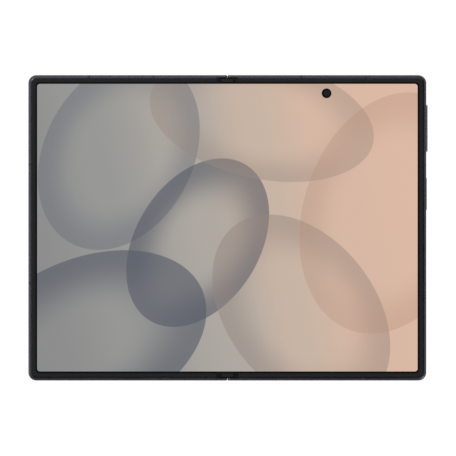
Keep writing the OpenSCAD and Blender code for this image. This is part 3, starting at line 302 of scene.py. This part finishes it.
# The black ring lies a tenth of a millimetre left of the hole and below it
ring_centre, ring_radius = (hole_x / mm - 0.1, hole_y / mm - 0.1, 0), 1.98
picture_size = [panel_width / mm - 2 * side_border / mm, panel_length / mm - 2 * end_border / mm]
print("picture", [round(side, 1) for side in picture_size], "mm,", len(ovals), "ovals")

# %% [markdown]
# ## Drawing the picture
#
# The picture could be painted in another program, but nodes stay sharp at any size and need no file. The
# stiff parts of the screen take the place on the screen from the object itself. The part that bends keeps
# it in a UV map, so the picture bends with it. Each oval is a circle in a space of its own, which is
# moved, turned and stretched, and a shape's edge is a step from 0 to 1 that softens over a short way.

# %% Draw the picture
def lit_screen(name, bends):
    made, tree, shader = material(name, Roughness=0.07, IOR=1.3, Emission_Strength=1.0)
    if bends:
        spot = add(tree, "ShaderNodeUVMap", uv_map="rest_place").outputs[0]
        spot = add(tree, "ShaderNodeVectorMath", {0: spot, 1: (0.5, 0.5, 0)},
                   operation="SUBTRACT").outputs[0]
        size = (panel_width / mm, panel_length / mm, 0)
    else:
        spot = add(tree, "ShaderNodeTexCoord").outputs["Object"]
        size = (1 / mm, 1 / mm, 0)
    spot = add(tree, "ShaderNodeVectorMath", {0: spot, 1: size}, operation="MULTIPLY").outputs[0]
    axes = add(tree, "ShaderNodeSeparateXYZ", {0: spot})
    along = add(tree, "ShaderNodeMath", {0: axes.outputs["Y"], 1: tone_lean, 2: axes.outputs["X"]},
                operation="MULTIPLY_ADD")
    along = add(tree, "ShaderNodeMapRange", {"Value": along.outputs[0], "From Min": -tone_reach,
                                             "From Max": tone_reach})
    ramp = add(tree, "ShaderNodeValToRGB", {0: along.outputs[0]},
               [(position, linear(tone)) for position, tone in base_tones])
    ramp.color_ramp.interpolation = "EASE"
    picture = ramp.outputs[0]
    for x, y, half_long, half_wide, turn, reach, strength, shade in ovals:
        oval = add(tree, "ShaderNodeMapping", {"Vector": spot, "Location": (x, y, 0),
                   "Rotation": (0, 0, math.radians(turn)), "Scale": (half_long, half_wide, 1)},
                   vector_type="TEXTURE")
        out = add(tree, "ShaderNodeVectorMath", {0: oval.outputs[0]}, operation="LENGTH")
        deep = add(tree, "ShaderNodeMapRange", {"Value": out.outputs["Value"], "From Min": 1 - reach,
                   "From Max": 1.0, "To Max": strength}, interpolation_type="SMOOTHERSTEP")
        inside = add(tree, "ShaderNodeMapRange", {"Value": out.outputs["Value"], "From Min": 1.0,
                     "From Max": 1.006, "To Min": 1.0, "To Max": 0.0})
        cover = add(tree, "ShaderNodeMath", {0: deep.outputs[0], 1: inside.outputs[0]},
                    operation="MULTIPLY")
        picture = add(tree, "ShaderNodeMix", {0: cover.outputs[0], 6: picture, 7: linear(shade)},
                      data_type="RGBA").outputs[2]
    # The picture ends in a rectangle with round corners, and the border beyond it is black
    straight = [side / 2 - picture_corner for side in picture_size] + [0]
    past = add(tree, "ShaderNodeVectorMath", {0: spot, 1: picture_middle}, operation="SUBTRACT")
    for operation, other in (("ABSOLUTE", (0, 0, 0)), ("SUBTRACT", straight), ("MAXIMUM", (0, 0, 0))):
        past = add(tree, "ShaderNodeVectorMath", {0: past.outputs[0], 1: other}, operation=operation)
    past = add(tree, "ShaderNodeVectorMath", {0: past.outputs[0]}, operation="LENGTH").outputs["Value"]
    to_hole = add(tree, "ShaderNodeVectorMath", {0: spot, 1: ring_centre}, operation="DISTANCE")
    soft = 0.04  # mm on either side of an edge
    within, lip, clear_of = (
        add(tree, "ShaderNodeMapRange", {"Value": value, "From Min": at - soft, "From Max": at + soft,
                                         "To Min": first, "To Max": 1.0 - first})
        for value, at, first in ((past, picture_corner, 1.0), (past, picture_corner + lip_start, 0.0),
                                 (to_hole.outputs["Value"], ring_radius, 0.0)))
    lit = add(tree, "ShaderNodeMath", {0: within.outputs[0], 1: clear_of.outputs[0]}, operation="MULTIPLY")
    shown = add(tree, "ShaderNodeMix", {0: lit.outputs[0], 6: linear("#050506"), 7: picture},
                data_type="RGBA")
    # Outermost the film is covered by the rim's soft lip, which is grey where light falls on it
    covered = add(tree, "ShaderNodeMix", {0: lip.outputs[0], 6: (0.003, 0.003, 0.0035, 1),
                                          7: linear("#38383a")}, data_type="RGBA")
    feed(tree, shader, Base_Color=covered.outputs[2], Emission_Color=shown.outputs[2])
    return made


finishes["screen_right"] = lit_screen("lit_screen_stiff", False)
finishes["screen_left"] = finishes["screen_right"]
finishes["screen_fold"] = lit_screen("lit_screen_bending", True)
print("screen:", finishes["screen_right"].name, finishes["screen_fold"].name)

# %% [markdown]
# ## Glass
#
# The back of the right half is glass that was etched to a satin feel over a dark coat. The left half's
# outer screen is polished glass, black while it is off, with a small camera window near its top. Glass
# has an IOR of 1.5. Etching shows as roughness and a fine sparkle, drawn at 0.4 mm.

# %% Etched and polished glass
satin, tree, shader = material("etched_back_glass", IOR=1.5, Coat_Weight=0.15, Coat_Roughness=0.3)
place = add(tree, "ShaderNodeTexCoord").outputs["Object"]
sparkle = add(tree, "ShaderNodeTexNoise", {"Vector": place, "Scale": 1 / (0.4 * mm), "Detail": 2.0})
haze = add(tree, "ShaderNodeTexNoise", {"Vector": place, "Scale": 1 / (30 * mm)})
tint = add(tree, "ShaderNodeMix", {0: haze.outputs[0], 6: linear("#38383d"), 7: linear("#404046")},
           data_type="RGBA")
matt = add(tree, "ShaderNodeMapRange", {"Value": sparkle.outputs[0], "To Min": 0.3, "To Max": 0.42})
bump = add(tree, "ShaderNodeBump", {"Strength": 0.15, "Distance": 0.01 * mm, "Height": sparkle.outputs[0]})
feed(tree, shader, Base_Color=tint.outputs[2], Roughness=matt.outputs[0], Normal=bump.outputs[0])
finishes["back_glass"] = satin


def distance_from(tree, x, y):
    """How far a point of the surface lies from an upright axis through x and y."""
    spot = add(tree, "ShaderNodeTexCoord").outputs["Object"]
    flat = add(tree, "ShaderNodeVectorMath", {0: spot, 1: (1, 1, 0)}, operation="MULTIPLY").outputs[0]
    return add(tree, "ShaderNodeVectorMath", {0: flat, 1: (x, y, 0)}, operation="DISTANCE").outputs["Value"]


outer_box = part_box("cover_camera")
window_x = (outer_box[0].x + outer_box[1].x) / 2
window_y = (outer_box[0].y + outer_box[1].y) / 2
polished, tree, shader = material("polished_cover_glass", Roughness=0.04, IOR=1.5)
drawn_radius = 4 * mm
share = add(tree, "ShaderNodeMath", {0: distance_from(tree, window_x, window_y), 1: 1 / drawn_radius},
            operation="MULTIPLY")
# Painted light of the camera window from its middle outwards, as shares of the drawn radius: a blue
# painted reflection, lighter painted highlight rings and black painted shade
window_painted_light_tones = [(0.0, "#1d2436"), (0.16, "#0a0c12"), (0.2, "#26272c"), (0.3, "#08080a"), (0.44, "#2a2b30"),
              (0.5, "#070708")]
rings = add(tree, "ShaderNodeValToRGB", {0: share.outputs[0]},
            [(at, linear(tone)) for at, tone in window_painted_light_tones])
place = add(tree, "ShaderNodeTexCoord").outputs["Object"]
smear = add(tree, "ShaderNodeTexNoise", {"Vector": place, "Scale": 1 / (18 * mm), "Detail": 4.0})
matt = add(tree, "ShaderNodeMapRange", {"Value": smear.outputs[0], "From Min": 0.35, "From Max": 0.75,
                                        "To Min": 0.03, "To Max": 0.09})
feed(tree, shader, Base_Color=rings.outputs[0], Roughness=matt.outputs[0])
finishes["cover_glass"] = polished
print("cover camera window at", round(window_x / mm, 1), round(window_y / mm, 1))

# %% [markdown]
# ## Lens glass
#
# A phone's lens looks black because its barrel swallows light. What gives it away are thin rings where
# the barrel steps inwards and a blue to violet glint from the coating on its front glass. Here all of it is
# painted light: the black is painted shade, the rings are painted highlights and the glint is a painted
# reflection. The camera in the screen is only 3.7 mm across, so its rings are drawn in the material from
# the distance to its axis. The tones are listed from the middle outwards, each with its share of the radius.

# %% Camera in the screen
def lens_with_painted_light(name, x, y, radius, tones):
    made, tree, shader = material(name, Roughness=0.05, IOR=1.6, Coat_Weight=0.6, Coat_Roughness=0.03)
    share = add(tree, "ShaderNodeMath", {0: distance_from(tree, x, y), 1: 1 / radius}, operation="MULTIPLY")
    ramp = add(tree, "ShaderNodeValToRGB", {0: share.outputs[0]}, [(at, linear(tone)) for at, tone in tones])
    feed(tree, shader, Base_Color=ramp.outputs[0])
    return made


# Painted light: a blue painted reflection in the middle, lighter painted highlight rings, black painted
# shade
screen_lens = lens_with_painted_light("screen_camera_painted_lens", hole_x, hole_y, 1.75 * mm, [
    (0.0, "#2b3347"), (0.2, "#1c212c"), (0.3, "#43464e"), (0.4, "#222326"), (0.6, "#333338"),
    (0.72, "#242426"), (0.85, "#0a0a0b")])
finishes["lens_glass"] = screen_lens
print("screen camera at", round(hole_x / mm, 2), round(hole_y / mm, 2))

# %% [markdown]
# ## Steel inside
#
# The hinge's arms, brackets and plates are sintered or pressed steel. Tumbling and rolling leave fine
# lines along the sheet, drawn 0.2 mm apart and stretched along the fold. Steel keeps metallic 1 and the
# default IOR. Shafts and gears are ground, so they are smoother and brighter than the sheet.

# %% Steels
def lined_steel(name, colour, light, roughness, stretch=(1, 0.05, 1)):
    made, tree, shader = material(name, Metallic=1.0)
    place = add(tree, "ShaderNodeTexCoord").outputs["Object"]
    drawn = add(tree, "ShaderNodeMapping", {"Vector": place, "Scale": stretch})
    lines = add(tree, "ShaderNodeTexNoise", {"Vector": drawn.outputs[0], "Scale": 1 / (0.2 * mm),
                                             "Detail": 3.0})
    tint = add(tree, "ShaderNodeMix", {0: lines.outputs[0], 6: linear(colour), 7: linear(light)},
               data_type="RGBA")
    matt = add(tree, "ShaderNodeMapRange", {"Value": lines.outputs[0], "To Min": roughness - 0.08,
                                            "To Max": roughness + 0.08})
    bump = add(tree, "ShaderNodeBump", {"Strength": 0.2, "Distance": 0.005 * mm,
                                        "Height": lines.outputs[0]})
    feed(tree, shader, Base_Color=tint.outputs[2], Roughness=matt.outputs[0], Normal=bump.outputs[0])
    return made


finishes["hinge_steel"] = lined_steel("tumbled_hinge_steel", "#9a9a9c", "#acacae", 0.38)
finishes["shaft_steel"] = lined_steel("ground_shaft_steel", "#b4b4b6", "#c4c4c6", 0.2)
finishes["screw_steel"] = lined_steel("dark_screw_steel", "#77777a", "#88888b", 0.35, (1, 1, 1))
finishes["backing_metal"] = lined_steel("rolled_backing_sheet", "#8c8c8e", "#9c9c9e", 0.42)
finishes["shield_metal"] = lined_steel("tinned_shield_sheet", "#bcbcbe", "#cbcbcd", 0.3, (0.05, 1, 1))
finishes["motor_metal"] = lined_steel("plated_motor_case", "#b0b0b2", "#bebec0", 0.28)
finishes["switch_metal"] = lined_steel("gold_flashed_dome", "#c9a65a", "#dabb75", 0.28, (1, 1, 1))
print("steels:", sum("steel" in m.name for m in finishes.values()))

# %% [markdown]
# ## Boards, batteries, coil and cables
#
# These lie inside and hardly show, but each gets its own finish. A board is green solder mask over copper
# lines about 0.3 mm apart. A battery is a pouch in black film with slight creases. The coil is varnished
# copper wire, wound in rings 0.4 mm apart round its own centre. A hinge cable is amber film with copper
# lines that run across the fold.

# %% Electronics
mask, tree, shader = material("solder_mask", Roughness=0.3, IOR=1.5)
place = add(tree, "ShaderNodeTexCoord").outputs["Object"]
tracks = add(tree, "ShaderNodeTexBrick", {
    "Vector": place, "Scale": 1 / (1.2 * mm), "Color1": linear("#1d5a44"), "Color2": linear("#174b39"),
    "Mortar": linear("#3f8c66"), "Mortar Size": 0.08, "Bias": 0.2})
raised = add(tree, "ShaderNodeBump", {"Strength": 0.3, "Distance": 0.02 * mm,
                                      "Height": tracks.outputs["Fac"]})
feed(tree, shader, Base_Color=tracks.outputs[0], Normal=raised.outputs[0])
finishes["circuit_board"] = mask

wrap, tree, shader = material("battery_film", IOR=1.5)
place = add(tree, "ShaderNodeTexCoord").outputs["Object"]
crease = add(tree, "ShaderNodeTexNoise", {"Vector": place, "Scale": 1 / (5 * mm), "Detail": 5.0,
                                          "Distortion": 1.2})
tint = add(tree, "ShaderNodeMix", {0: crease.outputs[0], 6: linear("#1b1b1d"), 7: linear("#2c2c2f")},
           data_type="RGBA")
matt = add(tree, "ShaderNodeMapRange", {"Value": crease.outputs[0], "To Min": 0.25, "To Max": 0.5})
bump = add(tree, "ShaderNodeBump", {"Strength": 0.5, "Distance": 0.08 * mm, "Height": crease.outputs[0]})
feed(tree, shader, Base_Color=tint.outputs[2], Roughness=matt.outputs[0], Normal=bump.outputs[0])
finishes["battery_wrap"] = wrap

coil_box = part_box("charging_coil")
coil_centre = (coil_box[0] + coil_box[1]) / 2
wire, tree, shader = material("varnished_copper_wire", Metallic=1.0, Roughness=0.32)
place = add(tree, "ShaderNodeTexCoord").outputs["Object"]
away = add(tree, "ShaderNodeVectorMath", {0: place, 1: coil_centre}, operation="DISTANCE").outputs["Value"]


def ridges(tree, distance, spacing):
    """Round ridges that far apart, as heights from 0 to 1."""
    turns = add(tree, "ShaderNodeMath", {0: distance, 1: 2 * math.pi / spacing}, operation="MULTIPLY")
    wave = add(tree, "ShaderNodeMath", {0: turns.outputs[0]}, operation="SINE")
    return add(tree, "ShaderNodeMapRange", {"Value": wave.outputs[0], "From Min": -1.0}).outputs[0]


wire_height_and_painted_shade = ridges(tree, away, 0.4 * mm)
# The tint follows the wire's height: darker valleys between turns are painted shade, lighter crowns painted
# highlight
tint = add(tree, "ShaderNodeMix", {0: wire_height_and_painted_shade, 6: linear("#7a3f1e"), 7: linear("#d9895a")},
           data_type="RGBA")
bump = add(tree, "ShaderNodeBump", {"Strength": 0.6, "Distance": 0.1 * mm, "Height": wire_height_and_painted_shade})
feed(tree, shader, Base_Color=tint.outputs[2], Normal=bump.outputs[0])
finishes["coil_copper"] = wire

film, tree, shader = material("amber_cable_film", Roughness=0.25, IOR=1.6)
place = add(tree, "ShaderNodeTexCoord").outputs["Object"]
lines = add(tree, "ShaderNodeTexWave", {"Vector": place, "Scale": 1 / (6 * mm)}, bands_direction="Y")
tint = add(tree, "ShaderNodeMix", {0: lines.outputs[1], 6: linear("#7a4313"), 7: linear("#c27c34")},
           data_type="RGBA")
feed(tree, shader, Base_Color=tint.outputs[2])
finishes["cable_film"] = film
print("electronics:", mask.name, wrap.name, wire.name, film.name)

# %% [markdown]
# ## Dark screen and flash
#
# The outer screen's panel lies dark behind its glass. The flash sits behind a small clear window whose
# inner face has fine rings, half a millimetre apart, that spread its light.

# %% Panel and flash window
dark, tree, shader = material("dark_panel", Roughness=0.2, IOR=1.5)
place = add(tree, "ShaderNodeTexCoord").outputs["Object"]
cells = add(tree, "ShaderNodeTexChecker", {"Vector": place, "Scale": 1 / (0.5 * mm),
                                           "Color1": linear("#0b0b0d"), "Color2": linear("#101012")})
feed(tree, shader, Base_Color=cells.outputs[0])
finishes["cover_screen"] = dark

flash_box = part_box("flash_window")
flash_centre = (flash_box[0] + flash_box[1]) / 2
clear, tree, shader = material("flash_diffuser_plastic", Roughness=0.18, IOR=1.5, Coat_Weight=0.5)
ring_height_and_painted_light = ridges(tree, distance_from(tree, flash_centre.x, flash_centre.y), 0.5 * mm)
# The window's own pale yellow, lighter on the ring crests and darker in the grooves as painted highlight and
# shade
warm = add(tree, "ShaderNodeMix", {0: ring_height_and_painted_light, 6: linear("#d9cfa4"), 7: linear("#f4f0e2")}, data_type="RGBA")
bump = add(tree, "ShaderNodeBump", {"Strength": 0.5, "Distance": 0.05 * mm, "Height": ring_height_and_painted_light})
feed(tree, shader, Base_Color=warm.outputs[2], Normal=bump.outputs[0])
finishes["flash_diffuser"] = clear
print("flash window at", round(flash_centre.x / mm, 1), round(flash_centre.y / mm, 1))

# %% [markdown]
# ## Dress the CAD parts
#
# Each CAD node comes with the name of its finish, so one loop puts all the materials on.

# %% Put every finish on its nodes
slot_of = {part["node"]: part["material_slot"] for part in frame["record"]["subparts"]}
for name, cad in nodes.items():
    cad.data.materials.clear()
    cad.data.materials.append(finishes[slot_of[name]])
print("dressed", len(nodes), "nodes with", len(set(finishes.values())), "materials")

# %% [markdown]
# ## The stretch of screen that bends
#
# CAD draws the bending part of the screen as a flat block, and a block can't fold. It is replaced by two
# closed sheets, one on each side of the fold line, cut finely across the fold.
#
# The top is shaded smooth, and smooth shading leans towards whatever wall meets it. With one wide row at
# the end, the lean would spread over all of it and bend the reflections, so a very narrow row goes along
# every edge and keeps the lean there.

# %% Sheets for the screen
hem = 0.02 * mm


def stations(start, end, count):
    """Places from start to end in equal steps, with one more a hem away from each end."""
    close = math.copysign(hem, end - start)
    reach = end - start - 2 * close
    return [start] + [start + close + reach * i / count for i in range(count + 1)] + [end]


def object_from(shape, name, finish):
    """Turns a finished bmesh into an object in the scene, with its finish on."""
    mesh = bpy.data.meshes.new(name)
    shape.to_mesh(mesh)
    shape.free()
    mesh.materials.append(finish)
    made = bpy.data.objects.new(name, mesh)
    bpy.context.scene.collection.objects.link(made)
    return made


def sheet(name, section, y_low, y_high, rows, finish):
    """A closed sheet along the fold. Each step of its section is (x, lower z, upper z)."""
    shape = bmesh.new()
    place = shape.loops.layers.uv.new("rest_place")
    grid = []
    for y in stations(y_low, y_high, rows):
        grid.append([(shape.verts.new((x, y, low)), shape.verts.new((x, y, high)))
                     for x, low, high in section])
    for j in range(len(grid) - 1):
        # The top and the underside, then the two long walls, and last the walls at both ends
        for i in range(len(section) - 1):
            a, b, c, d = grid[j][i], grid[j][i + 1], grid[j + 1][i + 1], grid[j + 1][i]
            shape.faces.new((a[1], b[1], c[1], d[1]))
            shape.faces.new((d[0], c[0], b[0], a[0]))
        for i in (0, -1):
            low, high = grid[j][i], grid[j + 1][i]
            shape.faces.new((low[0], low[1], high[1], high[0]))
    for row in (grid[0], grid[-1]):
        for a, b in zip(row, row[1:]):
            shape.faces.new((a[0], b[0], b[1], a[1]))
    bmesh.ops.recalc_face_normals(shape, faces=shape.faces)
    for face in shape.faces:
        face.smooth = abs(face.normal.z) > 0.5
        for loop in face.loops:
            spot = loop.vert.co
            loop[place].uv = (spot.x / panel_width + 0.5, spot.y / panel_length + 0.5)
    return object_from(shape, name, finish)


bend_low, bend_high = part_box("fold_screen_panel")
bend_steps = 56
for side, half in ((1, "right_half"), (-1, "left_half")):
    section = [(x, bend_low.z, bend_high.z) for x in stations(0, side * bend_high.x, bend_steps)]
    piece = sheet("bending_screen_" + half[:-5], section, bend_low.y, bend_high.y, 8,
                  finishes["screen_fold"])
    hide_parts("fold_screen_panel")
    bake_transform(piece)
print("bending screen:", 2 * bend_steps, "steps over", round(2 * bend_high.x / mm, 1), "mm")

# %% [markdown]
# ## Flexible cables
#
# Two ribbons carry signals across the hinge. Each leaves a connector under the frame, runs low through
# the half and rises over the guards in the spine. On the phone they bend with the hinge as the screen
# does, and here they are made with the same sheet function, again in a right and a left part.

# %% Ribbons
ribbon_low, ribbon_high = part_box("hinge_cables")
ribbon_end, low_z = ribbon_high.x, ribbon_low.z
connector_length = 1.6 * mm
flat_end = ribbon_end - connector_length
thickness, ribbon_width = 0.12 * mm, 10 * mm
rise_x, foot_x, rise = 1.85 * mm, 4.35 * mm, 1.05 * mm
ribbon_steps = 40


def ribbon_height(x):
    """Height of the ribbon's underside: low in the half, with a smooth rise towards the fold line."""
    share = min(max((foot_x - x) / (foot_x - rise_x), 0), 1)
    return low_z + rise * share * share * (3 - 2 * share)


for word, outer, inward in (("lower", ribbon_low.y, 1), ("upper", ribbon_high.y, -1)):
    ends = sorted((outer, outer + inward * ribbon_width))
    for side, half in ((1, "right_half"), (-1, "left_half")):
        steps = [flat_end * i / ribbon_steps for i in range(ribbon_steps + 1)]
        section = [(side * x, ribbon_height(x), ribbon_height(x) + thickness) for x in steps]
        # The last two steps stand up as the connector
        section += [(side * x, low_z, ribbon_high.z) for x in (flat_end + 0.01 * mm, ribbon_end)]
        name = "hinge_ribbon_%s_%s" % (half[:-5], word)
        piece = sheet(name, section, ends[0], ends[1], 4, finishes["cable_film"])
        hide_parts("hinge_cables")
        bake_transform(piece)
print("ribbons", round(2 * ribbon_end / mm, 1), "mm long")

# %% [markdown]
# ## Rear lenses
#
# Behind each round window the real barrel steps inwards in matt black rings to a domed, coated lens. A
# flat disc would lose that, so each window is turned as one profile about its own axis, like a part on a
# lathe: a flat glass edge, a step, a cone, another step and the dome. Heights go up from the window's
# outer face, because the back of the phone looks down.

# %% Turn the lenses
def lathe(name, profile, x, y, finish, segments=72):
    """Turns a profile of (radius, z) about an upright axis. It starts and ends on that axis."""
    shape = bmesh.new()
    rings = []
    for radius, z in profile:
        if radius == 0:
            rings.append([shape.verts.new((x, y, z))])
        else:
            rings.append([shape.verts.new((x + radius * math.cos(2 * math.pi * k / segments),
                                           y + radius * math.sin(2 * math.pi * k / segments), z))
                          for k in range(segments)])
    for outer, inner in zip(rings, rings[1:]):
        for k in range(segments):
            n = (k + 1) % segments
            if len(inner) == 1:
                shape.faces.new((outer[k], outer[n], inner[0]))
            elif len(outer) == 1:
                shape.faces.new((outer[0], inner[n], inner[k]))
            else:
                shape.faces.new((outer[k], outer[n], inner[n], inner[k]))
    bmesh.ops.recalc_face_normals(shape, faces=shape.faces)
    for face in shape.faces:
        face.smooth = True
    return object_from(shape, name, finish)


window_low, window_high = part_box("lens_windows")
lens_x = (window_low.x + window_high.x) / 2
lens_r = (window_high.x - window_low.x) / 2
face_z, back_z = window_low.z, window_high.z
for word, lens_y in (("upper", window_high.y - lens_r), ("lower", window_low.y + lens_r)):
    # The glass's tones are painted light: a blue painted reflection, lighter highlight rings, black painted
    # shade
    glass = lens_with_painted_light("rear_lens_%s" % word, lens_x, lens_y, lens_r, [
        (0.0, "#2a2f52"), (0.1, "#141a33"), (0.22, "#0c0d15"), (0.4, "#08080a"), (0.45, "#1f1f23"),
        (0.5, "#0a0a0b"), (0.68, "#141416"), (0.72, "#060607"), (1.0, "#0a0a0c")])
    # The flat back, the wall, the flat edge, a step, a cone, another step and a narrow floor
    profile = [(0, back_z), (lens_r, back_z), (lens_r, face_z), (0.74 * lens_r, face_z),
               (0.72 * lens_r, face_z + 0.12 * mm), (0.52 * lens_r, face_z + 0.2 * mm),
               (0.5 * lens_r, face_z + 0.36 * mm), (0.42 * lens_r, face_z + 0.38 * mm)]
    dome, dome_steps = 0.42 * lens_r, 8
    for k in range(1, dome_steps + 1):
        turn = math.pi / 2 * k / dome_steps
        radius = dome * math.cos(turn) if k < dome_steps else 0
        profile.append((radius, face_z + 0.38 * mm - 0.3 * mm * math.sin(turn)))
    piece = lathe("rear_lens_" + word, profile, lens_x, lens_y, glass)
    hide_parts("lens_windows")
    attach(piece, "right_half")
print("two rear lenses,", round(2 * lens_r / mm, 1), "mm across")

# %% [markdown]
# ## The end
#

# %% End
print("done")
